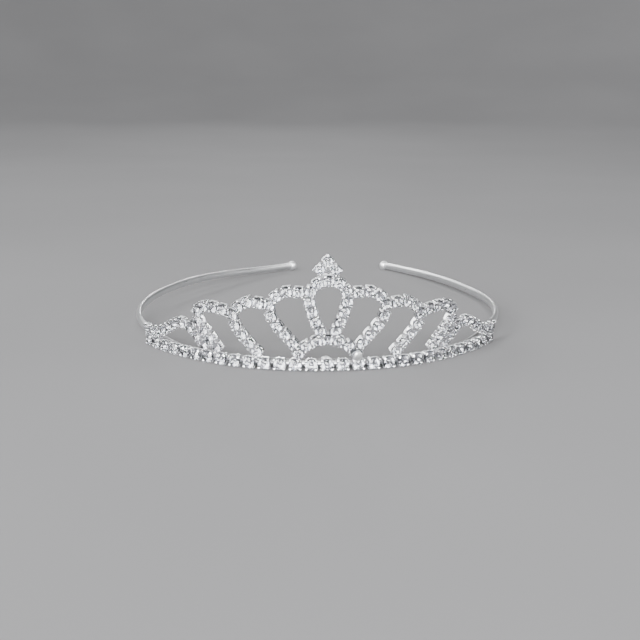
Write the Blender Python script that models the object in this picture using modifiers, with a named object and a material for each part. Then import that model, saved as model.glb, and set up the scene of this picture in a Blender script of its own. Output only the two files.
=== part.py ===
"""Bridal tiara: a sprung wire headband carrying a crown of cup-chain rhinestones.

Metres, +Z up. The crown faces -Y, the open ends of the headband point to +Y, and the
origin is the middle of the bounding box's underside.
"""

import math

import bmesh
import bpy
from mathutils import Matrix, Vector

MM = 0.001
GAP = 0.3 * MM                  # left between pieces that touch on the real tiara

# Plan of the headband, from the middle of the front round to an open end
BAND_ARCS = ((78.5 * MM, 18 * MM), (57 * MM, 17 * MM), (76.5 * MM, 103.5 * MM), (188.5 * MM, 86 * MM))
# (radius and length of each arc in turn)
BAND_DRIFT = 15.5 * MM          # the sprung band sits this far to one side at its open ends
DRIFT_START = 28 * MM           # depth behind the front where the drift sets in
LEAN = math.radians(10)         # the crown leans outwards as it rises

# Headband: a drawn wire of oval section, standing on edge
WIRE_HALF = Vector((1.05, 1.6)) * MM          # half thickness, half height
WIRE_SIDES = 12
WIRE_INSET = 3.2 * MM           # wire centre line behind the crown's wall line
WIRE_STEP = 6 * MM              # length of one straight piece of the wire mesh
WIRE_HEIGHTS = ((0, 1.65), (56, 1.65), (82, 3.9), (158, 3.4), (224.5, 2.2))   # mm round, mm up
RIGHT_TRIM = 1 * MM             # the right arm is this much shorter than the left
ARM_BOW = 2.3 * MM              # the left arm bows up this much more between crown and ball
BOW_START = 85 * MM
BALL_RADIUS = 2.2 * MM
BALL_SEAT = 1.45 * MM           # from the middle of a ball to the flat that the wire meets

# Row of large stones along the forehead
ROW_STONES = 29
ROW_PITCH = 5.09 * MM
ROW_CUP = Vector((4.2, 4.0, 1.9)) * MM        # width, height, depth
ROW_LINK_RADIUS = 0.32 * MM
ROW_STONE_RADIUS = 1.7 * MM
POCKET_DEPTH = 1.2 * MM

# Looped chain of small stones
LINK_PITCH = 3.6 * MM
LINK_LENGTH = 3.0 * MM          # across the flats of the eight-sided cup, along the chain
LINK_WIDTH = 3.4 * MM           # and across the chain
LINK_DEPTH = 1.9 * MM
LINK_CROWN = 0.6 * MM           # the stone stands this far out of its cup
LINK_BAR_RADIUS = 0.5 * MM

# Course of each chain over the wall: millimetres round from the middle, millimetres up
ARCH = ((0, 10.6), (3.6, 10.0), (6.8, 8.3), (9.1, 5.8))
CENTRE_LOOP = ((0, 30.1), (3.2, 29.2), (5.2, 26.9), (5.7, 24.1), (5.1, 20.9), (4.1, 17.3), (2.4, 13.6))
SIDE_LOOPS = (
    ((8.8, 26.3), (12.4, 26.4), (15.4, 25.0), (17.3, 23.0), (17.8, 20.2), (16.9, 17.0), (15.2, 14.4),
     (10.9, 9.2)),
    ((21.1, 22.4), (24.0, 22.6), (26.9, 21.2), (29.2, 18.9), (29.8, 16.4), (28.5, 13.3), (26.4, 10.2),
     (22.5, 5.8)),
    ((33.0, 19.1), (36.0, 19.6), (39.6, 19.5), (42.2, 18.2), (43.0, 15.5), (41.8, 12.7), (39.8, 9.9),
     (36.7, 5.8)),
    ((41.8, 6.0), (43.5, 7.9), (46.9, 11.3), (49.5, 12.2), (52.2, 12.0), (55.5, 10.4), (59.4, 8.4),
     (63.8, 6.9), (67.6, 6.2), (71.2, 6.1)),
)

# Finial: three claw-set stones on top of the centre loop
FINIAL_STONES = {"top": (-0.4, 36.7), "left": (-2.6, 33.9), "right": (2.0, 33.6)}
FINIAL_CUP_WIDTH = 3.3 * MM
FINIAL_STONE_RADIUS = 1.3 * MM
CLAWS = {"top": (0, 1.55), "left": (90, 0.8), "right": (-90, 0.5)}      # degrees round, mm long
CLAW_RADIUS = 0.5 * MM

# Solder bead behind the middle of the row
BEAD_SIZE = Vector((3.6, 2.2, 1.0)) * MM
BEAD_PLACE = Vector((-0.4, 3.1)) * MM        # round from the middle, behind the wall line

HALF_SIDE = Matrix.Rotation(math.pi / 8, 4, 'Z')   # turns a flat of an eight-sided cup to face X

SILVER = ("Silver plate", (0.80, 0.81, 0.83), 0.22, 1.0)
WIRE_SILVER = ("Satin silver wire", (0.72, 0.73, 0.75), 0.34, 1.0)
CRYSTAL = ("Clear crystal", (0.92, 0.94, 0.97), 0.04, 0.0)


# Scene ------------------------------------------------------------------------------

def clear_scene():
    for obj in list(bpy.data.objects):
        bpy.data.objects.remove(obj, do_unlink=True)


def new_collection(name):
    collection = bpy.data.collections.new(name)
    bpy.context.scene.collection.children.link(collection)
    return collection


def material(name, colour, roughness, metallic):
    mat = bpy.data.materials.get(name)
    if mat is None:
        mat = bpy.data.materials.new(name)
        mat.use_nodes = True
        shader = mat.node_tree.nodes["Principled BSDF"]
        shader.inputs["Base Color"].default_value = (*colour, 1)
        shader.inputs["Roughness"].default_value = roughness
        shader.inputs["Metallic"].default_value = metallic
        mat.diffuse_color = (*colour, 1)
    return mat


def add_part(name, mesh, finish, parent):
    """Put a finished mesh in the tiara as one named piece."""
    obj = bpy.data.objects.new(name, mesh)
    if mesh.users == 1:
        mesh.name = name
        mesh.materials.clear()
        mesh.materials.append(material(*finish))
    parts.objects.link(obj)
    obj.parent = parent
    return obj


def add_cutter(name, mesh, parent):
    """A helper solid that a Boolean modifier joins to a piece or cuts out of it."""
    obj = bpy.data.objects.new(name, mesh)
    cutters.objects.link(obj)
    obj.hide_render = True
    obj.display_type = 'WIRE'
    obj.parent = parent
    return obj


def boolean(obj, other, operation):
    modifier = obj.modifiers.new(operation.title(), 'BOOLEAN')
    modifier.object = other
    modifier.operation = operation
    modifier.solver = 'EXACT'


def finished_mesh(obj):
    """The mesh an object shows with its modifiers on; the object itself is removed."""
    bpy.context.view_layer.update()
    evaluated = obj.evaluated_get(bpy.context.evaluated_depsgraph_get())
    mesh = bpy.data.meshes.new_from_object(evaluated)
    bpy.data.objects.remove(obj, do_unlink=True)
    return mesh


def closed_mesh(mesh):
    """Weld doubled points and turn every face outwards."""
    bm = bmesh.new()
    bm.from_mesh(mesh)
    bmesh.ops.remove_doubles(bm, verts=bm.verts, dist=0.001 * MM)
    bmesh.ops.recalc_face_normals(bm, faces=bm.faces)
    bm.to_mesh(mesh)
    bm.free()
    return mesh


# Shapes -----------------------------------------------------------------------------

def turned(profile, sides):
    """Solid turned about Z from a profile that runs down its outer side."""
    mesh = bpy.data.meshes.new("profile")
    mesh.from_pydata([(r, 0, z) for r, z in profile],
                     [(i, i + 1) for i in range(len(profile) - 1)], [])
    obj = bpy.data.objects.new("profile", mesh)
    bpy.context.scene.collection.objects.link(obj)
    screw = obj.modifiers.new("Turn", 'SCREW')
    screw.steps = screw.render_steps = sides
    screw.use_merge_vertices = True
    screw.merge_threshold = 0.0001 * MM
    screw.use_normal_calculate = True
    return closed_mesh(finished_mesh(obj))


def line(name, points, closed=False):
    """Curve object of straight pieces between the given points."""
    curve = bpy.data.curves.new(name, 'CURVE')
    curve.dimensions = '3D'
    spline = curve.splines.new('POLY')
    spline.points.add(len(points) - 1)
    for spot, point in zip(spline.points, points):
        spot.co = (*point, 1)
    spline.use_cyclic_u = closed
    obj = bpy.data.objects.new(name, curve)
    bpy.context.scene.collection.objects.link(obj)
    return obj


def thin_bar(points, radius):
    """Thin four-sided bar along the given points, closed at both ends."""
    obj = line("bar", points)
    obj.data.bevel_depth = radius
    obj.data.bevel_resolution = 0
    obj.data.use_fill_caps = True
    return closed_mesh(finished_mesh(obj))


def oval_bar(points, half, sides):
    """Bar of oval section standing on edge along the given points, closed at both ends."""
    angles = [math.tau * k / sides for k in range(sides)]
    section = line("section", [(half.x * math.cos(a), half.y * math.sin(a), 0) for a in angles], True)
    obj = line("bar", points)
    obj.data.twist_mode = 'Z_UP'
    obj.data.bevel_mode = 'OBJECT'
    obj.data.bevel_object = section
    obj.data.use_fill_caps = True
    mesh = closed_mesh(finished_mesh(obj))
    bpy.data.objects.remove(section, do_unlink=True)
    return mesh


def copies(mesh, places):
    """One mesh holding a copy of another at every given place."""
    bm = bmesh.new()
    for place in places:
        first = len(bm.verts)
        bm.from_mesh(mesh)
        bm.verts.ensure_lookup_table()
        bmesh.ops.transform(bm, matrix=place, verts=bm.verts[first:])
    out = bpy.data.meshes.new(mesh.name)
    bm.to_mesh(out)
    bm.free()
    return out


def primitive(create, matrix, **size):
    """Mesh of one of Blender's primitive solids."""
    bm = bmesh.new()
    create(bm, matrix=matrix, **size)
    mesh = bpy.data.meshes.new("primitive")
    bm.to_mesh(mesh)
    bm.free()
    return mesh


def box(size, centre):
    return primitive(bmesh.ops.create_cube, Matrix.Translation(centre) @ Matrix.Diagonal((*size, 1)),
                     size=1)


def drum(radius, low, high, sides, top_radius=None):
    """Straight-sided or tapering solid about Z."""
    return primitive(bmesh.ops.create_cone, Matrix.Translation((0, 0, (low + high) / 2)),
                     cap_ends=True, segments=sides, radius1=radius, depth=high - low,
                     radius2=radius if top_radius is None else top_radius)


def shade_round(mesh):
    """Smooth shading, except over edges as sharp as a rim."""
    mesh.shade_smooth()
    mesh.set_sharp_from_angle(angle=math.radians(50))
    return mesh


def stone(radius, sides=10):
    """Brilliant-cut stone with its girdle in the XY plane and its table up."""
    return turned(((0, 0.32 * radius), (0.58 * radius, 0.32 * radius), (radius, 0.04 * radius),
                   (radius, -0.03 * radius), (0, -0.6 * radius)), sides)


def pocketed(cup, pocket_radius):
    """A cup with the round pocket for its stone, as a plain mesh."""
    obj = bpy.data.objects.new("cup", cup)
    bpy.context.scene.collection.objects.link(obj)
    pocket = add_cutter("pocket", drum(pocket_radius, -POCKET_DEPTH, 1 * MM, 10), None)
    boolean(obj, pocket, 'DIFFERENCE')
    mesh = finished_mesh(obj)
    bpy.data.objects.remove(pocket, do_unlink=True)
    return closed_mesh(mesh)


# Layout -----------------------------------------------------------------------------

def plan(s):
    """Point and heading of the wall line, s metres round from the middle of the front."""
    side, left = math.copysign(1, s), abs(s)
    x = y = heading = 0.0
    for radius, length in BAND_ARCS:
        turn = heading + min(left, length) / radius
        x += radius * (math.sin(turn) - math.sin(heading))
        y += radius * (math.cos(heading) - math.cos(turn))
        heading = turn
        left = max(left - length, 0)
    return side * x, y, side * heading


def wall_frame(s, h, lean=LEAN):
    """Place on the leaning wall: X runs round it, Y up it and Z out of it."""
    x, y, heading = plan(s)
    outward = Vector((math.sin(heading), -math.cos(heading), 0))
    along = Vector((math.cos(heading), math.sin(heading), 0))
    up = outward * math.sin(lean) + Vector((0, 0, math.cos(lean)))
    place = Matrix((along, up, along.cross(up))).transposed().to_4x4()
    place.translation = Vector((x, y, h)) + outward * h * math.tan(LEAN)
    return place


def smooth_course(course, samples=12):
    """Catmull-Rom curve through a chain's guide points, in metres on the wall."""
    points = [Vector(p) * MM for p in course]
    points = [2 * points[0] - points[1], *points, 2 * points[-1] - points[-2]]
    out = []
    for a, b, c, d in zip(points, points[1:], points[2:], points[3:]):
        for i in range(samples):
            t = i / samples
            out.append(0.5 * ((2 * b) + (c - a) * t + (2 * a - 5 * b + 4 * c - d) * t ** 2
                              + (3 * b - 3 * c + d - a) * t ** 3))
    out.append(points[-2])
    return out


def chain_places(course):
    """Evenly spaced places for the cups of a chain, X along the chain and Z outwards."""
    course = smooth_course(course)
    spots = [wall_frame(*p).translation for p in course]
    run = [0.0]
    for a, b in zip(spots, spots[1:]):
        run.append(run[-1] + (b - a).length)
    count = round(run[-1] / LINK_PITCH) + 1
    places = []
    for k in range(count):
        distance = run[-1] * k / (count - 1)
        i = max(j for j in range(len(run) - 1) if run[j] <= distance + 1e-9)
        place = wall_frame(*course[i].lerp(course[i + 1], (distance - run[i]) / (run[i + 1] - run[i])))
        out = place.col[2].to_3d()
        across = out.cross(spots[i + 1] - spots[i]).normalized()
        frame = Matrix((across.cross(out), across, out)).transposed().to_4x4()
        frame.translation = place.translation
        places.append(frame)
    return places


def wire_height(s):
    """Height of the headband's centre line, easing from one stated height to the next."""
    for (s0, h0), (s1, h1) in zip(WIRE_HEIGHTS, WIRE_HEIGHTS[1:]):
        if abs(s) <= s1 * MM:
            t = (abs(s) / MM - s0) / (s1 - s0)
            bow = max(-s - BOW_START, 0) / (WIRE_LENGTH - BOW_START)
            return (h0 + (h1 - h0) * t * t * (3 - 2 * t)) * MM + ARM_BOW * math.sin(math.pi * bow) ** 2
    return WIRE_HEIGHTS[-1][1] * MM


def wire_point(s):
    x, y, heading = plan(s)
    depth = plan(WIRE_LENGTH)[1] - DRIFT_START
    drift = BAND_DRIFT * (max(y - DRIFT_START, 0) / depth) ** 2
    return Vector((x - math.sin(heading) * WIRE_INSET + drift,
                   y + math.cos(heading) * WIRE_INSET, wire_height(s)))


# Pieces -----------------------------------------------------------------------------

def ball_places():
    """Places of the two balls, each with its Z axis running into the headband."""
    places = []
    for s in (-WIRE_LENGTH, WIRE_LENGTH - RIGHT_TRIM):
        centre = wire_point(s)
        inwards = (wire_point(s * 0.97) - centre).normalized()
        places.append(Matrix.Translation(centre) @ inwards.to_track_quat('Z', 'Y').to_matrix().to_4x4())
    return places


def build_headband(root):
    left, right = ball_places()
    span = 2 * WIRE_LENGTH - RIGHT_TRIM
    steps = round(span / WIRE_STEP)
    end = Vector((0, 0, BALL_SEAT + GAP))
    between = [wire_point(span * i / steps - WIRE_LENGTH) for i in range(1, steps)]
    bar = oval_bar([left @ end, *between, right @ end], WIRE_HALF, WIRE_SIDES)
    add_part("headband_wire", shade_round(bar), WIRE_SILVER, root)
    for name, place in (("left", left), ("right", right)):
        sphere = primitive(bmesh.ops.create_uvsphere, Matrix(), u_segments=16, v_segments=10,
                           radius=BALL_RADIUS)
        ball = add_part("ball_tip_" + name, shade_round(sphere), WIRE_SILVER, root)
        ball.matrix_local = place
        seat = add_cutter("seat_" + name, drum(BALL_RADIUS, BALL_SEAT, 2 * BALL_RADIUS, 16), ball)
        boolean(ball, seat, 'DIFFERENCE')


def build_row(root):
    forward = ROW_CUP.y / 2 * math.tan(LEAN)
    cup = pocketed(box(ROW_CUP, Vector((0, 0, -ROW_CUP.z / 2))), ROW_STONE_RADIUS + 0.15 * MM)
    places = []
    for n in range(ROW_STONES):
        place = wall_frame((n - (ROW_STONES - 1) / 2) * ROW_PITCH, 0, lean=0)
        places.append(place @ Matrix.Translation((0, ROW_CUP.y / 2, forward)))
    back = Vector((0, 0, -(POCKET_DEPTH + ROW_CUP.z) / 2))
    row = add_part("base_cup_chain", thin_bar([p @ back for p in places], ROW_LINK_RADIUS), SILVER, root)
    cups = add_cutter("base_cups", copies(cup, places), root)
    boolean(row, cups, 'UNION')
    cut = stone(ROW_STONE_RADIUS)
    for n, place in enumerate(places, 1):
        gem = add_part(f"base_stone_{n:02d}", cut, CRYSTAL, root)
        gem.matrix_local = place @ Matrix.Translation((0, 0, 0.15 * MM))


def build_chain(name, course, root):
    """Chain of small cups, each with its stone, on bars that run from cup to cup."""
    places = chain_places(course)
    corner = LINK_LENGTH / 2 / math.cos(math.pi / 8)
    link = turned(((0, LINK_CROWN), (0.5 * corner, LINK_CROWN), (corner, 0), (corner, -LINK_DEPTH),
                   (0, -LINK_DEPTH)), 8)
    link.transform(Matrix.Scale(LINK_WIDTH / LINK_LENGTH, 4, (0, 1, 0)) @ HALF_SIDE)
    middle = Vector((0, 0, -LINK_DEPTH / 2))
    chain = add_part(name, thin_bar([p @ middle for p in places], LINK_BAR_RADIUS), SILVER, root)
    cups = add_cutter(name + "_cups", copies(link, places), root)
    boolean(chain, cups, 'UNION')


def mirrored(course):
    return tuple((-s, h) for s, h in course)


def both_sides(course):
    """A course drawn from the middle outwards, continued to the other side."""
    return tuple(reversed(mirrored(course)))[:-1] + course


def build_finial(root):
    places = {key: wall_frame(s * MM, h * MM) for key, (s, h) in FINIAL_STONES.items()}
    corner = FINIAL_CUP_WIDTH / 2 / math.cos(math.pi / 8)
    cup = pocketed(drum(corner, -LINK_DEPTH, 0, 8), FINIAL_STONE_RADIUS + 0.18 * MM)
    back = Vector((0, 0, -(POCKET_DEPTH + LINK_DEPTH) / 2))
    corners = [places[key] @ back for key in ("left", "top", "right")]
    setting = add_part("finial_setting", thin_bar(corners, ROW_LINK_RADIUS), SILVER, root)
    cups = add_cutter("finial_cups", copies(cup, [p @ HALF_SIDE for p in places.values()]), root)
    boolean(setting, cups, 'UNION')
    claw = drum(CLAW_RADIUS, -0.2 * MM, 1 * MM, 6, top_radius=0)
    reach = FINIAL_CUP_WIDTH / 2 - 0.1 * MM
    claws = [places[key] @ Matrix.Translation((0, 0, -0.8 * MM))
             @ Matrix.Rotation(math.radians(turn), 4, 'Z') @ Matrix.Translation((0, reach, 0))
             @ Matrix.Rotation(-math.pi / 2, 4, 'X') @ Matrix.Scale(length, 4, (0, 0, 1))
             for key, (turn, length) in CLAWS.items()]
    points = add_cutter("finial_claws", copies(claw, claws), root)
    boolean(setting, points, 'UNION')
    cut = stone(FINIAL_STONE_RADIUS)
    for key, place in places.items():
        gem = add_part("finial_stone_" + key, cut, CRYSTAL, root)
        gem.matrix_local = place @ Matrix.Translation((0, 0, 0.15 * MM))


def build_bead(root):
    """Half-round bead of solder lying over the wire behind the middle cup."""
    dome = turned(((0, 1), (0.4, 0.92), (0.75, 0.66), (1, 0)) + ((0, 0),), 12)
    dome.transform(Matrix.Diagonal((BEAD_SIZE.x / 2, BEAD_SIZE.y / 2, BEAD_SIZE.z, 1)))
    bead = add_part("centre_solder_bead", shade_round(dome), WIRE_SILVER, root)
    bead.location = (*BEAD_PLACE, wire_height(0) + WIRE_HALF.y + GAP)


def rest_on_origin(root):
    """Move the tiara so that the middle of its underside is the origin."""
    bpy.context.view_layer.update()
    graph = bpy.context.evaluated_depsgraph_get()
    corners = []
    for obj in parts.objects:
        if obj.type == 'MESH':
            shown = obj.evaluated_get(graph)
            corners += [shown.matrix_world @ v.co for v in shown.data.vertices]
    low, high = (Vector([pick(p[k] for p in corners) for k in range(3)]) for pick in (min, max))
    root.location = (-(low.x + high.x) / 2, -(low.y + high.y) / 2, -low.z)


WIRE_LENGTH = sum(length for radius, length in BAND_ARCS)

clear_scene()
parts = new_collection("Bridal tiara")
cutters = new_collection("Tiara cutters")
tiara = bpy.data.objects.new("tiara", None)
parts.objects.link(tiara)

build_headband(tiara)
build_row(tiara)
build_chain("centre_arch", both_sides(ARCH), tiara)
build_chain("centre_loop", both_sides(CENTRE_LOOP), tiara)
for number, loop in enumerate(SIDE_LOOPS, 1):
    build_chain(f"loop_left_{number}", mirrored(loop), tiara)
    build_chain(f"loop_right_{number}", loop, tiara)
build_finial(tiara)
build_bead(tiara)
rest_on_origin(tiara)
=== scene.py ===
"""Looks of the bridal tiara: every cup, claw, stone and solder joint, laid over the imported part.

Metres, +Z up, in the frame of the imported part. The crown faces -Y.
"""

import math
import random

import bpy
from mathutils import Matrix, Vector, noise


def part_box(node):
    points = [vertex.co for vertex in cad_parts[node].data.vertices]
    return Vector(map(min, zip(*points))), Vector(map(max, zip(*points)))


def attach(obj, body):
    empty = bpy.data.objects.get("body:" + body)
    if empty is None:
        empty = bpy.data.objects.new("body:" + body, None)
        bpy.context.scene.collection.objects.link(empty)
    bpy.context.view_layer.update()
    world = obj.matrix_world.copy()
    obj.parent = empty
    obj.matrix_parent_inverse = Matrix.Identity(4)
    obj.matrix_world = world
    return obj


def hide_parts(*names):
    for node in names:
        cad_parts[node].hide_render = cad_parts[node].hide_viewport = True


MM = 0.001

# Layout, as the part has it -----------------------------------------------------------

# Plan of the headband from the middle of the front: radius and length of each arc
BAND_ARCS = ((78.5 * MM, 18 * MM), (57 * MM, 17 * MM),
             (76.5 * MM, 103.5 * MM), (188.5 * MM, 86 * MM))
WIRE_LENGTH = sum(length for _, length in BAND_ARCS)
BAND_DRIFT = 15.5 * MM          # the open ends sit this far to one side
DRIFT_START = 28 * MM
LEAN = math.radians(10)         # the crown leans outwards as it rises
WIRE_INSET = 3.2 * MM           # the headband lies this far behind the crown's wall line
# Height of the wire's middle on the way round: millimetres round, millimetres up
WIRE_HEIGHTS = ((0, 1.65), (56, 1.65), (82, 3.9), (158, 3.4), (224.5, 2.2))
RIGHT_TRIM = 1 * MM             # the right arm is this much shorter than the left
ARM_BOW = 2.3 * MM              # the left arm bows up this much more between crown and ball
BOW_START = 85 * MM

ROW_STONES = 29
ROW_PITCH = 5.09 * MM
ROW_HALF_HEIGHT = 2.0 * MM
LINK_PITCH = 3.6 * MM

# Course of each chain over the wall: millimetres round from the middle, millimetres up
ARCH = ((0, 10.6), (3.6, 10.0), (6.8, 8.3), (9.1, 5.8))
CENTRE_LOOP = ((0, 30.1), (3.2, 29.2), (5.2, 26.9), (5.7, 24.1), (5.1, 20.9), (4.1, 17.3),
               (2.4, 13.6))
SIDE_LOOPS = (
    ((8.8, 26.3), (12.4, 26.4), (15.4, 25.0), (17.3, 23.0), (17.8, 20.2), (16.9, 17.0),
     (15.2, 14.4), (10.9, 9.2)),
    ((21.1, 22.4), (24.0, 22.6), (26.9, 21.2), (29.2, 18.9), (29.8, 16.4), (28.5, 13.3),
     (26.4, 10.2), (22.5, 5.8)),
    ((33.0, 19.1), (36.0, 19.6), (39.6, 19.5), (42.2, 18.2), (43.0, 15.5), (41.8, 12.7),
     (39.8, 9.9), (36.7, 5.8)),
    ((41.8, 6.0), (43.5, 7.9), (46.9, 11.3), (49.5, 12.2), (52.2, 12.0), (55.5, 10.4), (59.4, 8.4),
     (63.8, 6.9), (67.6, 6.2), (71.2, 6.1)),
)
FINIAL_STONES = {"top": (-0.4, 36.7), "left": (-2.6, 33.9), "right": (2.0, 33.6)}
CUP_DEPTH = 1.9 * MM

# Details the looks add ----------------------------------------------------------------

WIRE_HALF = Vector((1.02, 1.58)) * MM           # oval wire: half thickness, half height
BALL_RADIUS = 2.19 * MM
BALL_SEAT = 1.45 * MM           # from the middle of a ball to where the wire goes in
CROWN_REACH = 74 * MM           # shade is painted on the wire's outer side this far round, behind the crown
CROWN_FADE = 4 * MM             # and the painted shade fades out over this length
BALL_TIP_RADIUS = 0.02          # closes the far pole of a ball, in millimetres
# Crimped mouth of a ball: radius and height in millimetres, and how much shade is painted on, lip
# to hole
BALL_MOUTH = ((1.55, 1.50, 0.0), (1.42, 1.53, 0.2), (1.32, 1.50, 0.7), (1.24, 1.42, 1.0),
              (0.02, 1.40, 1.0))

# Each kind of cup: half length along the chain, half height, inside depth, wall, corner
# radius and how far its sides are cut down between the claws, all in millimetres
ROW_CUP = dict(half=(2.08, 1.98), floor=1.62, wall=0.2, corner=0.72, notch=0.85)
CHAIN_CUP = dict(half=(1.71, 1.9), floor=1.35, wall=0.16, corner=0.6, notch=0.7)
FINIAL_CUP = dict(half=(1.62, 1.62), floor=1.35, wall=0.16, corner=0.62, notch=0.7)

# Each kind of corner claw: (out from the corner's centre, height over the rim, width,
# thickness) from its root to its tip, in millimetres
ROW_CLAW = ((0.55, -0.55, 0.88, 0.26), (0.55, 0.02, 0.88, 0.26), (0.49, 0.3, 0.84, 0.27),
            (0.26, 0.47, 0.7, 0.26), (-0.06, 0.44, 0.5, 0.22), (-0.24, 0.34, 0.22, 0.12))
CHAIN_CLAW = ((0.5, -0.5, 0.8, 0.22), (0.5, 0.0, 0.78, 0.22), (0.42, 0.24, 0.7, 0.22),
              (0.16, 0.38, 0.56, 0.21), (-0.14, 0.36, 0.4, 0.18), (-0.28, 0.28, 0.18, 0.1))
FINIAL_CLAW = ((0.52, -0.5, 0.8, 0.22), (0.52, 0.0, 0.78, 0.22), (0.44, 0.22, 0.68, 0.22),
               (0.2, 0.34, 0.54, 0.2), (-0.08, 0.32, 0.38, 0.17), (-0.22, 0.25, 0.18, 0.1))

# Link bars between cups: width, thickness and height over the cups' rims in millimetres, and
# how much shade is painted on them, for the shade in the gaps between the cups
ROW_LINK = dict(width=0.95, thickness=0.4, z=-1.35, shade=0.9)
CHAIN_LINK = dict(width=0.85, thickness=0.4, z=-1.3, shade=0.4)
FINIAL_LINK = dict(width=0.8, thickness=0.4, z=-1.3, shade=0.4)

# Pointed claw of each finial cup: the way it points, and how far its tip reaches
FINIAL_TIPS = {"top": ((0, 1), 3.08), "left": ((-1, 0), 2.3), "right": ((1, 0), 2.02)}

# Solder joints: places as millimetres round and up, sizes as half sizes in millimetres
FINIAL_JOINT, FINIAL_JOINT_SIZE = (-0.3, 34.3), (1.6, 1.85, 1.3)
FINIAL_JOINT_DEPTH = 1.3 * MM   # behind the wall
BEAD_ROUND = -0.4 * MM          # the bead on the headband is this far round
BEAD_SIZE, BEAD_DRIP_SIZE = (1.75, 1.1, 1.25), (0.8, 0.8, 1.1)
BEAD_DRIP_PLACE = Vector((0.9, -0.3, 0.05)) * MM
BAND_JOINT_CUPS = range(-13, 14, 3)     # row cups soldered to the headband, from the middle one
BAND_JOINT_HEIGHT, BAND_JOINT_DEPTH = 1.9 * MM, 2.6 * MM
BACK_JOINTS = ((9.3, 6.0), (10.9, 8.6), (22.5, 6.0), (36.7, 6.0), (42.0, 6.2), (70.6, 5.9),
               (8.2, 26.4), (19.3, 21.6), (31.2, 18.6), (43.2, 11.2))       # on both sides
LOOP_JOINTS = ((-2.1, 13.2), (2.1, 13.2), (-1.2, 31.5), (1.4, 31.7))
BACK_JOINT_DEPTH = 1.75 * MM
ARCH_FOOT_JOINT, ARCH_FOOT_SIZE = (9.4, 5.1), (1.9, 2.1, 1.15)

ROW_STONE_RADIUS = 1.84 * MM
CHAIN_STONE_RADIUS = 1.6 * MM
FINIAL_STONE_RADIUS = 1.42 * MM
STONE_LIFT = 0.06 * MM          # girdle over the cup's rim
STONE_TILT = math.radians(2.5)  # no stone sits quite true in its claws

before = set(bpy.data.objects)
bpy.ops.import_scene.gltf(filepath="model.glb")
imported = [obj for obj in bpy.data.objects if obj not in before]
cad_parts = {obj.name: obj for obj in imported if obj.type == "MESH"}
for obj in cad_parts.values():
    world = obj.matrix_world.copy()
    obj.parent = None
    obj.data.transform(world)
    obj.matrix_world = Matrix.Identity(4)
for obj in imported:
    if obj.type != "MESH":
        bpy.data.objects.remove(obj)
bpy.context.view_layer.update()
chance = random.Random(7)

centre_low, centre_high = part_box("base_stone_15")
STONE_FRONT = 1.047 * MM        # the centre stone's face stands this far in front of the wall line
WALL_ORIGIN = Vector(((centre_low.x + centre_high.x) / 2, centre_low.y + STONE_FRONT, 0))


# Layout functions ---------------------------------------------------------------------

def axes(x, y, z, origin):
    """Placement with the given axes and origin."""
    place = Matrix((x, y, z)).transposed().to_4x4()
    place.translation = origin
    return place


def eased(t):
    """Goes smoothly from 0 to 1 as t does, and stays there outside."""
    t = min(max(t, 0), 1)
    return t * t * (3 - 2 * t)


def plan(s):
    """Point and heading of the wall line, s metres round from the middle of the front."""
    side, left = math.copysign(1, s), abs(s)
    x = y = heading = 0.0
    for radius, length in BAND_ARCS:
        turn = heading + min(left, length) / radius
        x += radius * (math.sin(turn) - math.sin(heading))
        y += radius * (math.cos(heading) - math.cos(turn))
        heading = turn
        left = max(left - length, 0)
    return side * x, y, side * heading


def wall_frame(s, h, lean=LEAN):
    """Place on the leaning wall: X runs round it, Y up it and Z out of it."""
    x, y, heading = plan(s)
    outward = Vector((math.sin(heading), -math.cos(heading), 0))
    along = Vector((math.cos(heading), math.sin(heading), 0))
    up = outward * math.sin(lean) + Vector((0, 0, math.cos(lean)))
    origin = WALL_ORIGIN + Vector((x, y, h)) + outward * h * math.tan(LEAN)
    return axes(along, up, along.cross(up), origin)


def smooth_course(course, samples=12):
    """Catmull-Rom curve through a chain's guide points, in metres on the wall."""
    points = [Vector(p) * MM for p in course]
    points = [2 * points[0] - points[1], *points, 2 * points[-1] - points[-2]]
    out = []
    for a, b, c, d in zip(points, points[1:], points[2:], points[3:]):
        for i in range(samples):
            t = i / samples
            out.append(0.5 * ((2 * b) + (c - a) * t + (2 * a - 5 * b + 4 * c - d) * t ** 2
                              + (3 * b - 3 * c + d - a) * t ** 3))
    out.append(points[-2])
    return out


def chain_places(course):
    """Evenly spaced places for the cups of a chain, X along the chain and Z outwards."""
    course = smooth_course(course)
    spots = [wall_frame(*p).translation for p in course]
    run = [0.0]
    for a, b in zip(spots, spots[1:]):
        run.append(run[-1] + (b - a).length)
    count = round(run[-1] / LINK_PITCH) + 1
    places = []
    for k in range(count):
        distance = run[-1] * k / (count - 1)
        i = max(j for j in range(len(run) - 1) if run[j] <= distance + 1e-9)
        share = (distance - run[i]) / (run[i + 1] - run[i])
        place = wall_frame(*course[i].lerp(course[i + 1], share))
        out = place.col[2].to_3d()
        across = out.cross(spots[i + 1] - spots[i]).normalized()
        places.append(axes(across.cross(out), across, out, place.translation))
    return places


def wire_height(s):
    for (s0, h0), (s1, h1) in zip(WIRE_HEIGHTS, WIRE_HEIGHTS[1:]):
        if abs(s) <= s1 * MM:
            rise = (h1 - h0) * eased((abs(s) / MM - s0) / (s1 - s0))
            bow = max(-s - BOW_START, 0) / (WIRE_LENGTH - BOW_START)
            return (h0 + rise) * MM + ARM_BOW * math.sin(math.pi * bow) ** 2
    return WIRE_HEIGHTS[-1][1] * MM


def wire_point(s):
    x, y, heading = plan(s)
    depth = plan(WIRE_LENGTH)[1] - DRIFT_START
    drift = BAND_DRIFT * (max(y - DRIFT_START, 0) / depth) ** 2
    return WALL_ORIGIN + Vector((x - math.sin(heading) * WIRE_INSET + drift,
                                 y + math.cos(heading) * WIRE_INSET, wire_height(s)))


def mirrored(course):
    return tuple((-s, h) for s, h in course)


def both_sides(course):
    return tuple(reversed(mirrored(course)))[:-1] + course


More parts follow.
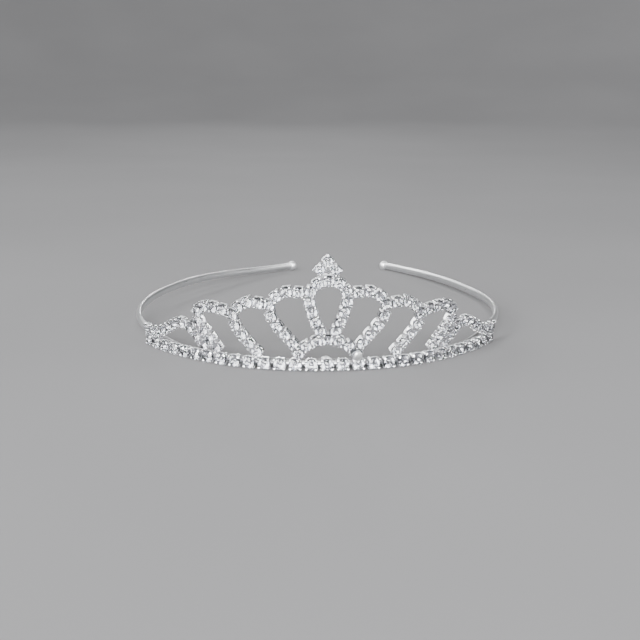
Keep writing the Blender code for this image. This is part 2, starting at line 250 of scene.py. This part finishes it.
# Materials ----------------------------------------------------------------------------

class Nodes:
    """A material's node tree, with the few kinds of node the finishes are made of."""

    def __init__(self, name):
        self.material = bpy.data.materials.new(name)
        self.material.use_nodes = True
        self.tree = self.material.node_tree
        self.shader = self.tree.nodes["Principled BSDF"]

    def add(self, kind, **settings):
        node = self.tree.nodes.new(kind)
        for key, value in settings.items():
            setattr(node, key, value)
        return node

    def link(self, source, target):
        self.tree.links.new(source, target)

    def place(self, scale=(1, 1, 1), coordinates="Object"):
        mapping = self.add("ShaderNodeMapping")
        mapping.inputs["Scale"].default_value = scale
        self.link(self.add("ShaderNodeTexCoord").outputs[coordinates], mapping.inputs["Vector"])
        return mapping.outputs["Vector"]

    def noise(self, scale, detail=3, at=None):
        node = self.add("ShaderNodeTexNoise")
        node.inputs["Scale"].default_value = scale
        node.inputs["Detail"].default_value = detail
        self.link(at or self.place(), node.inputs["Vector"])
        return node.outputs["Fac"]

    def between(self, value, low, high, start=0.3, end=0.7):
        """A value rescaled to run from low to high as it goes from start to end."""
        node = self.add("ShaderNodeMapRange")
        for name, number in (("From Min", start), ("From Max", end),
                             ("To Min", low), ("To Max", high)):
            node.inputs[name].default_value = number
        self.link(value, node.inputs["Value"])
        return node.outputs["Result"]

    def colours(self, value, first, second):
        node = self.add("ShaderNodeMix", data_type='RGBA')
        self.link(value, node.inputs["Factor"])
        node.inputs["A"].default_value = (*first, 1)
        node.inputs["B"].default_value = (*second, 1)
        return node

    def painted_shade_share(self, value):
        """The share of a piece's painted shade that shows at a point."""
        painted_shade = self.add("ShaderNodeAttribute", attribute_name="painted_shade")
        product = self.add("ShaderNodeMath", operation='MULTIPLY')
        self.link(painted_shade.outputs["Fac"], product.inputs[0])
        self.link(value, product.inputs[1])
        return product.outputs["Value"]

    def bump(self, height, strength, distance):
        node = self.add("ShaderNodeBump")
        node.inputs["Strength"].default_value = strength
        node.inputs["Distance"].default_value = distance
        self.link(height, node.inputs["Height"])
        self.link(node.outputs["Normal"], self.shader.inputs["Normal"])


def plated_silver():
    """Bright stamped cups: silver plate, with shade painted on darker down in the hollows and on
    the link bars.
    """
    n = Nodes("plated_silver")
    n.shader.inputs["Metallic"].default_value = 1
    patches = n.noise(900, 4)
    plate = n.colours(n.between(patches, 0, 1), (0.80, 0.81, 0.84), (0.93, 0.93, 0.94))
    # Painted shade: darkest down in the cups, under them and on the link bars between them, broken
    # up by noise
    shade_mix = n.colours(n.painted_shade_share(n.between(n.noise(2600, 2), 0.6, 1)), (1, 1, 1), (0.16, 0.16, 0.17))
    n.link(plate.outputs["Result"], shade_mix.inputs["A"])
    n.link(shade_mix.outputs["Result"], n.shader.inputs["Base Color"])
    n.link(n.between(n.noise(2200, 3), 0.15, 0.32), n.shader.inputs["Roughness"])
    n.bump(n.noise(3200, 2), 0.12, 0.03 * MM)
    return n.material


def satin_wire():
    """Sprung wire: drawn and plated to a slightly dull satin, with faint marks along its length,
    and shade painted on its outer side behind the crown.
    """
    n = Nodes("satin_wire")
    n.shader.inputs["Metallic"].default_value = 1
    drawn = n.noise(1, 4, n.place((60, 2400, 1), "UV"))
    tone = n.colours(n.between(n.noise(140, 3), 0, 1), (0.68, 0.69, 0.70), (0.78, 0.785, 0.795))
    # Painted shade on the wire's outer side behind the crown, where the cups stand in front of it
    crown_shade = n.painted_shade_share(n.between(n.noise(420, 3), 0.7, 1))
    crown_shade_mix = n.colours(crown_shade, (1, 1, 1), (0.20, 0.20, 0.205))
    n.link(tone.outputs["Result"], crown_shade_mix.inputs["A"])
    n.link(crown_shade_mix.outputs["Result"], n.shader.inputs["Base Color"])
    n.link(n.between(drawn, 0.27, 0.39), n.shader.inputs["Roughness"])
    n.bump(drawn, 0.10, 0.02 * MM)
    return n.material


def satin_ball():
    """Balls on the ends of the wire: the same plate, tumbled to an even satin, with shade painted
    into the mouth.
    """
    n = Nodes("satin_ball")
    n.shader.inputs["Metallic"].default_value = 1
    pits = n.noise(2600, 3)
    # Painted shade down in the mouth, where the wire goes in
    mouth_shade = n.painted_shade_share(n.between(n.noise(500, 2), 0.7, 1))
    tone = n.colours(mouth_shade, (0.92, 0.925, 0.94), (0.25, 0.25, 0.26))
    n.link(tone.outputs["Result"], n.shader.inputs["Base Color"])
    n.link(n.between(pits, 0.36, 0.48), n.shader.inputs["Roughness"])
    n.bump(pits, 0.15, 0.02 * MM)
    return n.material


def solder():
    """Soft solder: bright where it flowed, grey and grainy where it froze."""
    n = Nodes("solder")
    n.shader.inputs["Metallic"].default_value = 1
    frozen = n.noise(1500, 4)
    tone = n.colours(n.between(frozen, 0, 1), (0.95, 0.955, 0.96), (0.82, 0.83, 0.84))
    n.link(tone.outputs["Result"], n.shader.inputs["Base Color"])
    n.link(n.between(frozen, 0.26, 0.48), n.shader.inputs["Roughness"])
    n.bump(n.noise(2400, 3), 0.35, 0.05 * MM)
    return n.material


def cut_crystal():
    """Crown of a stone: clear crystal, with the faintest haze and rub marks on its facets."""
    n = Nodes("cut_crystal")
    n.shader.inputs["Transmission Weight"].default_value = 1
    n.shader.inputs["IOR"].default_value = 1.56
    tone = n.colours(n.between(n.noise(380, 2), 0, 1), (0.94, 0.96, 1.0), (1.0, 1.0, 1.0))
    n.link(tone.outputs["Result"], n.shader.inputs["Base Color"])
    n.link(n.between(n.noise(4200, 3), 0.0, 0.035, 0.45, 0.75), n.shader.inputs["Roughness"])
    return n.material


def mirror_foil():
    """Back of a stone: mirror foil pressed on the pavilion, with slight clouding."""
    n = Nodes("mirror_foil")
    n.shader.inputs["Metallic"].default_value = 1
    cloud = n.noise(1700, 3)
    tone = n.colours(n.between(cloud, 0, 1), (0.97, 0.97, 0.98), (0.86, 0.87, 0.90))
    n.link(tone.outputs["Result"], n.shader.inputs["Base Color"])
    n.link(n.between(cloud, 0.0, 0.06), n.shader.inputs["Roughness"])
    return n.material


# Shapes: each is (points, faces, how much shade is painted on each point) ---------------

def tube_faces(rings, around):
    """Faces over a stack of rings of points: the sides, then the first and last caps."""
    faces = []
    for j in range(rings - 1):
        a, b = j * around, (j + 1) * around
        faces += [(a + i, a + (i + 1) % around, b + (i + 1) % around, b + i) for i in range(around)]
    faces.append(tuple(reversed(range(around))))
    faces.append(tuple(range((rings - 1) * around, rings * around)))
    return faces


def squarish(degrees, power):
    """Point on a round that gets squarer as the power falls below 1."""
    c, s = math.cos(math.radians(degrees)), math.sin(math.radians(degrees))
    return math.copysign(abs(c) ** power, c), math.copysign(abs(s) ** power, s)


def cup(half, floor, wall, corner, notch, per_corner=4, per_side=8):
    """Square cup open towards +Z, with soft corners and sides cut down between the claws."""
    outline = []                # (point, normal, drop of the rim)
    ends = ((1, 1), (-1, 1), (-1, -1), (1, -1))
    for q, (sx, sy) in enumerate(ends):
        middle = Vector(((half[0] - corner) * sx, (half[1] - corner) * sy))
        for k in range(per_corner + 1):
            a = math.radians(90 * (q + k / per_corner))
            normal = Vector((math.cos(a), math.sin(a)))
            outline.append((middle + normal * corner, normal, 0.0))
        nx, ny = ends[(q + 1) % 4]
        last = outline[-1][0]
        following = Vector(((half[0] - corner) * nx, (half[1] - corner) * ny)) + normal * corner
        for k in range(1, per_side):
            t = k / per_side
            cut_down = eased((0.82 - abs(2 * t - 1)) / 0.4)
            outline.append((last.lerp(following, t), normal, notch * cut_down))
    depth = CUP_DEPTH / MM
    rings = []
    # Each ring holds how much shade is painted on it: most on the cup's floor and underside, a
    # little on its outer wall and inner lip
    for share, z in ((0.30, -depth + 0.15), (0.46, -depth + 0.15), (0.50, -depth)):
        rings.append(([(p * share).to_3d() + Vector((0, 0, z)) for p, _, _ in outline], 0.8))
    for inset, top, painted_shade in ((0.14, None, 0.1), (0, None, 0.1), (0, -0.05, 0), (0.04, 0, 0),
                               (wall - 0.04, 0, 0), (wall, -0.05, 0.2)):
        ring = []
        for p, normal, drop in outline:
            flat = p - normal * inset
            low = -depth if inset else -depth + 0.14
            ring.append(Vector((flat.x, flat.y, low if top is None else top - drop)))
        rings.append((ring, painted_shade))
    inside = [Vector((p.x - n.x * wall, p.y - n.y * wall, -floor)) for p, n, _ in outline]
    rings.append((inside, 1))
    points = [p for ring, _ in rings for p in ring]
    shade = [painted_shade for ring, painted_shade in rings for _ in ring]
    return points, tube_faces(len(rings), len(outline)), shade


def claw(corner_centre, spine, aim):
    """Bent claw that rises from a cup's corner, leaning the way of aim, and folds in."""
    out = Vector((*aim, 0)).normalized()
    across = Vector((-out.y, out.x, 0))
    base = Vector((*corner_centre, 0))
    path = [base + out * r + Vector((0, 0, z)) for r, z, _, _ in spine]
    points = []
    for i, (_, _, width, thickness) in enumerate(spine):
        run = (path[min(i + 1, len(path) - 1)] - path[max(i - 1, 0)]).normalized()
        face = across.cross(run)
        for k in range(8):
            wide, deep = squarish(22.5 + 45 * k, 0.6)
            points.append(path[i] + across * (width / 2 * wide) + face * (thickness / 2 * deep))
    return points, tube_faces(len(spine), 8), [0.0] * len(points)


def setting(kind, spine):
    """A cup with its four corner claws."""
    reach = [h - kind["corner"] for h in kind["half"]]
    claws = [claw((reach[0] * sx, reach[1] * sy), spine, (sx, sy))
             for sx, sy in ((1, 1), (-1, 1), (-1, -1), (1, -1))]
    return [cup(**kind), *claws]


def bar(start, end, width, thickness, shade):
    """Flattened link between two cups, running along +X, with rounded edges."""
    points = []
    for x in (start, end):
        for k in range(12):
            wide, deep = squarish(30 * k, 0.7)
            points.append(Vector((x, width / 2 * wide, thickness / 2 * deep)))
    return points, tube_faces(2, 12), [shade] * len(points)


def brilliant(radius, crown=0.34, table=0.54, pavilion=0.86):
    """Round brilliant, its shares taken of the radius, and how many faces come before its foil."""
    def polar(r, a, z):
        a = math.radians(a)
        return Vector((r * math.cos(a), r * math.sin(a), z)) * radius
    mid, low_mid = 0.80, 0.28
    flat = math.cos(math.radians(22.5))
    mid_z = crown * (1 - mid * flat) / (1 - table)
    low_z = -0.03 - (pavilion - 0.03) * (1 - low_mid * flat)
    points = [polar(table, 45 * k, crown) for k in range(8)]
    points += [polar(mid, 45 * k + 22.5, mid_z) for k in range(8)]
    points += [polar(1, 22.5 * k, 0.0) for k in range(16)]
    points += [polar(1, 22.5 * k, -0.03) for k in range(16)]
    points += [polar(low_mid, 45 * k + 22.5, low_z) for k in range(8)]
    points.append(polar(0, 0, -pavilion))
    t, m, g, b, low, culet = 0, 8, 16, 32, 48, 56       # first point of each ring
    faces = [tuple(range(8))]
    for k in range(8):
        nxt, prv = (k + 1) % 8, (k - 1) % 8
        faces.append((t + k, m + k, t + nxt))
        faces.append((t + k, m + prv, g + 2 * k, m + k))
        faces.append((m + k, g + 2 * k, g + 2 * k + 1))
        faces.append((m + k, g + 2 * k + 1, g + (2 * k + 2) % 16))
    faces += [(g + k, b + k, b + (k + 1) % 16, g + (k + 1) % 16) for k in range(16)]
    crown_faces = len(faces)
    for k in range(8):
        prv = (k - 1) % 8
        faces.append((culet, low + k, b + 2 * k, low + prv))
        faces.append((low + k, b + 2 * k + 1, b + 2 * k))
        faces.append((low + k, b + (2 * k + 2) % 16, b + 2 * k + 1))
    return points, faces, crown_faces


def turned(profile, sides):
    """Shape turned about Z from (radius, height, painted shade) that run up its outer side."""
    points = []
    for r, z, _ in profile:
        for k in range(sides):
            a = math.tau * k / sides
            points.append(Vector((r * math.cos(a), r * math.sin(a), z)))
    shade = [painted_shade for _, _, painted_shade in profile for _ in range(sides)]
    return points, tube_faces(len(profile), sides), shade


# Pieces -------------------------------------------------------------------------------

def piece(name, shapes, material, nodes, smooth=40):
    """One named piece from pairs of a shape in millimetres and its place."""
    points, faces, shade = [], [], []
    for shape, place in shapes:
        first = len(points)
        points += [place @ (p * MM) for p in shape[0]]
        faces += [tuple(first + i for i in f) for f in shape[1]]
        shade += shape[2]
    mesh = bpy.data.meshes.new(name)
    mesh.from_pydata(points, [], faces)
    mesh.attributes.new("painted_shade", 'FLOAT', 'POINT').data.foreach_set("value", shade)
    mesh.materials.append(material)
    mesh.shade_smooth()
    mesh.set_sharp_from_angle(angle=math.radians(smooth))
    register(bpy.data.objects.new(name, mesh), nodes)


def register(obj, nodes):
    """Puts a piece on the part and hides the CAD nodes it stands for."""
    bpy.context.scene.collection.objects.link(obj)
    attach(obj, "root")
    if nodes:
        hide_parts(*nodes)


def stones(name, radius, places, nodes):
    """Stones set in the given cups, each turned and tilted a little by the setter's hand."""
    cut, cut_faces, crown_faces = brilliant(radius)
    points, faces, kinds = [], [], []
    for place in places:
        tilt = Matrix.Rotation(chance.uniform(-STONE_TILT, STONE_TILT), 4, 'X')
        tilt = tilt @ Matrix.Rotation(chance.uniform(-STONE_TILT, STONE_TILT), 4, 'Y')
        spin = Matrix.Rotation(chance.uniform(0, math.tau), 4, 'Z')
        seat = place @ Matrix.Translation((0, 0, STONE_LIFT)) @ tilt @ spin
        first = len(points)
        points += [seat @ p for p in cut]
        faces += [tuple(first + i for i in f) for f in cut_faces]
        kinds += [0] * crown_faces + [1] * (len(cut_faces) - crown_faces)
    mesh = bpy.data.meshes.new(name)
    mesh.from_pydata(points, [], faces)
    mesh.materials.append(CRYSTAL)
    mesh.materials.append(FOIL)
    mesh.polygons.foreach_set("material_index", kinds)
    register(bpy.data.objects.new(name, mesh), nodes)


def ball_places():
    """Places of the two balls, each with its Z axis running into the headband."""
    places = []
    for s in (-WIRE_LENGTH, WIRE_LENGTH - RIGHT_TRIM):
        centre = wire_point(s)
        inwards = (wire_point(s * 0.97) - centre).normalized()
        facing = inwards.to_track_quat('Z', 'Y').to_matrix().to_4x4()
        places.append(Matrix.Translation(centre) @ facing)
    return places


def build_wire():
    """Headband swept along its course, with texture coordinates in metres along and round."""
    sides, rings = 32, 301
    span = 2 * WIRE_LENGTH - RIGHT_TRIM
    spots = [span * i / (rings - 1) - WIRE_LENGTH for i in range(rings)]
    left, right = ball_places()
    end = Vector((0, 0, BALL_SEAT))
    path = [left @ end, *[wire_point(s) for s in spots[2:-2]], right @ end]
    spots = [spots[0], *spots[2:-2], spots[-1]]
    points, shade = [], []
    for i, p in enumerate(path):
        run = (path[min(i + 1, len(path) - 1)] - path[max(i - 1, 0)]).normalized()
        side = run.cross(Vector((0, 0, 1))).normalized()
        up = side.cross(run)
        # Shade is painted on the wire's outward side behind the crown, fading out past its ends
        behind_crown = eased((CROWN_REACH - abs(spots[i])) / CROWN_FADE)
        for k in range(sides):
            a = math.tau * k / sides
            points.append(p + side * math.cos(a) * WIRE_HALF.x + up * math.sin(a) * WIRE_HALF.y)
            shade.append(behind_crown * eased(0.6 + 1.2 * math.cos(a)))
    mesh = bpy.data.meshes.new("headband")
    mesh.from_pydata(points, [], [tuple(reversed(f)) for f in tube_faces(len(path), sides)])
    round_it = math.tau * (WIRE_HALF.x + WIRE_HALF.y) / 2 / sides
    mesh.attributes.new("painted_shade", 'FLOAT', 'POINT').data.foreach_set("value", shade)
    layer = mesh.uv_layers.new(name="drawn")
    for polygon in mesh.polygons:
        wraps = max(mesh.loops[i].vertex_index % sides for i in polygon.loop_indices) == sides - 1
        for i in polygon.loop_indices:
            ring, k = divmod(mesh.loops[i].vertex_index, sides)
            if wraps and k == 0 and len(polygon.loop_indices) == 4:
                k = sides
            layer.data[i].uv = (spots[ring] + WIRE_LENGTH, k * round_it)
    mesh.materials.append(WIRE)
    mesh.shade_smooth()
    mesh.set_sharp_from_angle(angle=math.radians(50))
    register(bpy.data.objects.new("headband", mesh), ["headband_wire"])


def build_balls():
    """Ball on each open end, with the crimped mouth that grips the wire."""
    r = BALL_RADIUS / MM
    arc = [(r * math.cos(math.radians(a)), r * math.sin(math.radians(a)), 0.0)
           for a in range(-84, 43, 6)]
    profile = [(BALL_TIP_RADIUS, -r, 0.0), *arc, *BALL_MOUTH]
    for name, place in zip(("left", "right"), ball_places()):
        piece("ball_" + name, [(turned(profile, 40), place)], BALL,
              ["ball_tip_" + name])


def build_row():
    forward = ROW_HALF_HEIGHT * math.tan(LEAN)
    places = [wall_frame((n - (ROW_STONES - 1) / 2) * ROW_PITCH, 0, lean=0)
              @ Matrix.Translation((0, ROW_HALF_HEIGHT, forward)) for n in range(ROW_STONES)]
    cups = setting(ROW_CUP, ROW_CLAW)
    shapes = [(shape, place) for place in places for shape in cups]
    shapes += links(places, **ROW_LINK)
    piece("row_settings", shapes, PLATE, ["base_cup_chain"])
    for n, place in enumerate(places, 1):
        stones(f"row_stone_{n:02d}", ROW_STONE_RADIUS, [place], [f"base_stone_{n:02d}"])


def links(places, width, thickness, z, shade):
    """Link bars from each cup to the next, in millimetres."""
    out = []
    for a, b in zip(places, places[1:]):
        start, end = a @ Vector((0, 0, z * MM)), b @ Vector((0, 0, z * MM))
        along = (end - start).normalized()
        facing = (a.col[2].to_3d() + b.col[2].to_3d()).normalized()
        across = facing.cross(along).normalized()
        middle = axes(along, across, along.cross(across), (start + end) / 2)
        reach = (end - start).length / MM / 2
        out.append((bar(-reach, reach, width, thickness, shade), middle))
    return out


def build_chain(name, course, nodes):
    places = chain_places(course)
    cups = setting(CHAIN_CUP, CHAIN_CLAW)
    shapes = [(shape, place) for place in places for shape in cups]
    shapes += links(places, **CHAIN_LINK)
    piece(name + "_settings", shapes, PLATE, nodes)
    stones(name + "_stones", CHAIN_STONE_RADIUS, places, nodes)


def behind_wall(spot, depth):
    """Place at millimetres round and up, the given depth behind the wall."""
    return wall_frame(spot[0] * MM, spot[1] * MM) @ Matrix.Translation((0, 0, -depth))


def build_finial():
    """Three cups stood on their corners, each with one claw drawn out to a point."""
    quarter = Matrix.Rotation(math.pi / 4, 4, 'Z')
    places = {key: wall_frame(s * MM, h * MM) for key, (s, h) in FINIAL_STONES.items()}
    cups = setting(FINIAL_CUP, FINIAL_CLAW)
    shapes = [(shape, place @ quarter) for place in places.values() for shape in cups]
    for key, (aim, reach) in FINIAL_TIPS.items():
        point = ((1.35, -0.9, 1.0, 0.65), (1.65, -0.6, 0.85, 0.55),
                 (reach - 0.3, -0.25, 0.45, 0.38), (reach, -0.12, 0.12, 0.12))
        shapes.append((claw((0, 0), point, aim), places[key]))
    shapes += links([places["left"], places["top"], places["right"]], **FINIAL_LINK)
    shapes.append((lump(FINIAL_JOINT_SIZE, 5.0), behind_wall(FINIAL_JOINT, FINIAL_JOINT_DEPTH)))
    piece("finial_cups", shapes, PLATE, ["finial_setting"])
    for key, place in places.items():
        stones("finial_gem_" + key, FINIAL_STONE_RADIUS, [place @ quarter], ["finial_stone_" + key])


def lump(size, seed, rough=0.12):
    """Frozen drop of solder, flat underneath; the seed picks its own unevenness."""
    rings, sides = 8, 20
    points = []
    for j in range(rings + 1):
        a = math.radians(90 * j / rings)
        for k in range(sides):
            b = math.tau * k / sides
            p = Vector((math.cos(a) * math.cos(b), math.cos(a) * math.sin(b), math.sin(a)))
            swell = 1 - rough + rough * noise.noise(p * 1.3 + Vector((seed, 0, 0)))
            points.append(Vector((p.x * size[0], p.y * size[1], p.z * size[2])) * swell)
    return points, tube_faces(rings + 1, sides), [0.0] * len(points)


def build_solder():
    """Bead behind the middle cup, and the joints that hold the chains and the headband."""
    top = wire_point(BEAD_ROUND) + Vector((0, -0.1 * MM, WIRE_HALF.y - 0.1 * MM))
    bead = [(lump(BEAD_SIZE, 3.0), Matrix.Translation(top)),
            (lump(BEAD_DRIP_SIZE, 9.0), Matrix.Translation(top + BEAD_DRIP_PLACE))]
    piece("solder_bead", bead, SOLDER, ["centre_solder_bead"], smooth=60)
    joints = []
    for n in BAND_JOINT_CUPS:
        place = (wall_frame(n * ROW_PITCH, BAND_JOINT_HEIGHT, lean=0)
                 @ Matrix.Translation((0, 0, -BAND_JOINT_DEPTH)))
        joints.append((lump((1.5, 1.3, 0.9), n, 0.2), place))
        joints.append((lump((1.5, 1.2, 0.5), n + 0.5, 0.2),
                       place @ Matrix.Rotation(math.pi, 4, 'Y')))
    backwards = Matrix.Rotation(math.pi, 4, 'X')
    for i, (s, h) in enumerate(BACK_JOINTS):
        for side in (-1, 1):
            joints.append((lump((1.6, 1.4, 0.75), i + side * 20.0, 0.25),
                           behind_wall((side * s, h), BACK_JOINT_DEPTH) @ backwards))
    for s, h in LOOP_JOINTS:
        joints.append((lump((1.5, 1.3, 0.7), s * 3.3, 0.25),
                       behind_wall((s, h), BACK_JOINT_DEPTH) @ backwards))
    joints.append((lump(ARCH_FOOT_SIZE, 40.0), behind_wall(ARCH_FOOT_JOINT, 0.1 * MM)))
    piece("solder_joints", joints, SOLDER, [], smooth=60)


# Studio -------------------------------------------------------------------------------

CAMERA_FROM_WALL = Vector((-19.7, -304.8, 92.3)) * MM
CAMERA_LENS, CAMERA_SENSOR = 56.25, 36                         # millimetres
CAMERA_CLIP = 0.01, 50
CAMERA_YAW, CAMERA_PITCH, CAMERA_ROLL = 3.25, 13.88, 0.33      # degrees

# Section of the floor's sweep, out from the middle: radius, height
SWEEP_PROFILE = ((0.001, -0.00005), (0.9, -0.00005), (1.3, 0.02), (1.6, 0.09), (1.85, 0.22),
                 (2.0, 0.42), (2.05, 0.7))
SWEEP_SIDES = 96

LIGHT_AIM = Vector((0, -0.05, 0.015))
WORLD_COLOUR, WORLD_STRENGTH = (0.80, 0.82, 0.86, 1), 0.06

# Suns: azimuth, elevation and width in degrees, strength
SUNS = {"key": (-40, 40, 24, 3.0), "back": (-130, 32, 24, 1.1)}

# Panels: azimuth and elevation in degrees, distance, width and height, radiance
PANELS = {
    "fill": (46, 22, 1.4, (0.45, 0.6), 5),
    "front": (-4, 23, 1.3, (0.74, 0.44), 46),
    "top": (5, 74, 1.5, (0.8, 0.4), 4),
    "behind": (180, 40, 1.6, (1.6, 0.8), 1.8),
    "left": (-88, 26, 1.4, (0.9, 0.5), 9),
    "right": (76, 26, 1.4, (0.7, 0.5), 6),
    "low": (-46, 14, 1.3, (0.5, 0.3), 13),
}

# Small bright panels that single facets pick up: azimuth and elevation of each
GLINTS = ((-15, 16), (12, 42), (-70, 20), (78, 16), (28, 52), (-24, 58),
          (0, 7), (-30, 10), (35, 8), (-95, 35), (100, 38), (180, 20))
GLINT_DISTANCE, GLINT_SIZE, GLINT_RADIANCE = 1.2, (0.07, 0.07), 90


def build_camera():
    yaw, pitch, roll = (math.radians(v) for v in (CAMERA_YAW, CAMERA_PITCH, CAMERA_ROLL))
    ahead = Vector((math.sin(yaw) * math.cos(pitch), math.cos(yaw) * math.cos(pitch),
                    -math.sin(pitch)))
    right = Vector((math.cos(yaw), -math.sin(yaw), 0))
    up = right.cross(ahead)
    right, up = (right * math.cos(roll) + up * math.sin(roll),
                 up * math.cos(roll) - right * math.sin(roll))
    data = bpy.data.cameras.new("camera")
    data.lens, data.sensor_width = CAMERA_LENS, CAMERA_SENSOR
    data.clip_start, data.clip_end = CAMERA_CLIP
    camera = bpy.data.objects.new("camera", data)
    camera.matrix_world = axes(right, up, -ahead, WALL_ORIGIN + CAMERA_FROM_WALL)
    bpy.context.scene.collection.objects.link(camera)
    bpy.context.scene.camera = camera


def build_floor():
    """Pale sweep: a floor that curves up into a low wall all round."""
    points = []
    for r, z in SWEEP_PROFILE:
        for k in range(SWEEP_SIDES):
            a = math.tau * k / SWEEP_SIDES
            points.append((r * math.cos(a), r * math.sin(a), z))
    mesh = bpy.data.meshes.new("sweep")
    open_above = tube_faces(len(SWEEP_PROFILE), SWEEP_SIDES)[:-1]
    mesh.from_pydata(points, [], open_above)
    mesh.shade_smooth()
    n = Nodes("pale_paper")
    tone = n.colours(n.between(n.noise(6, 2), 0, 1), (0.138, 0.138, 0.141), (0.147, 0.147, 0.150))
    n.link(tone.outputs["Result"], n.shader.inputs["Base Color"])
    n.shader.inputs["Roughness"].default_value = 0.8
    n.shader.inputs["Specular IOR Level"].default_value = 0.12
    mesh.materials.append(n.material)
    sweep = bpy.data.objects.new("sweep", mesh)
    bpy.context.scene.collection.objects.link(sweep)


def bearing(azimuth, elevation):
    """Direction out from the tiara: azimuth 0 is in front of the crown, and it grows towards +X."""
    a, e = math.radians(azimuth), math.radians(elevation)
    return Vector((math.sin(a) * math.cos(e), -math.cos(a) * math.cos(e), math.sin(e)))


def hang(name, data, place, behind):
    """Lamp at a place, with its back to the given direction and unseen by the camera."""
    lamp = bpy.data.objects.new(name, data)
    lamp.location = place
    lamp.rotation_mode = 'QUATERNION'
    lamp.rotation_quaternion = behind.to_track_quat('Z', 'Y')
    lamp.visible_camera = False
    bpy.context.scene.collection.objects.link(lamp)


def softbox(name, azimuth, elevation, distance, size, radiance):
    """Studio panel that faces the crown."""
    place = LIGHT_AIM + distance * bearing(azimuth, elevation)
    data = bpy.data.lights.new(name, 'AREA')
    data.shape, data.size, data.size_y = 'RECTANGLE', *size
    data.energy = radiance * math.pi * size[0] * size[1]
    hang(name, data, place, place - LIGHT_AIM)


def sun(name, azimuth, elevation, spread, strength):
    """Broad even light from one direction, as wide as the spread."""
    data = bpy.data.lights.new(name, 'SUN')
    data.angle, data.energy = math.radians(spread), strength
    hang(name, data, bearing(azimuth, elevation), bearing(azimuth, elevation))


def build_lights():
    world = bpy.data.worlds.new("studio")
    world.use_nodes = True
    background = world.node_tree.nodes["Background"]
    background.inputs["Color"].default_value = WORLD_COLOUR
    background.inputs["Strength"].default_value = WORLD_STRENGTH
    bpy.context.scene.world = world
    for name, settings in SUNS.items():
        sun(name, *settings)
    for name, settings in PANELS.items():
        softbox(name, *settings)
    for i, (azimuth, elevation) in enumerate(GLINTS):
        softbox(f"glint_{i}", azimuth, elevation, GLINT_DISTANCE, GLINT_SIZE, GLINT_RADIANCE)


PLATE, WIRE, BALL, SOLDER = plated_silver(), satin_wire(), satin_ball(), solder()
CRYSTAL, FOIL = cut_crystal(), mirror_foil()

build_wire()
build_balls()
build_row()
build_chain("arch", both_sides(ARCH), ["centre_arch"])
build_chain("loop_centre", both_sides(CENTRE_LOOP), ["centre_loop"])
for n, course in enumerate(SIDE_LOOPS, 1):
    build_chain(f"scallop_left_{n}", mirrored(course), [f"loop_left_{n}"])
    build_chain(f"scallop_right_{n}", course, [f"loop_right_{n}"])
build_finial()
build_solder()
build_floor()
build_lights()
build_camera()
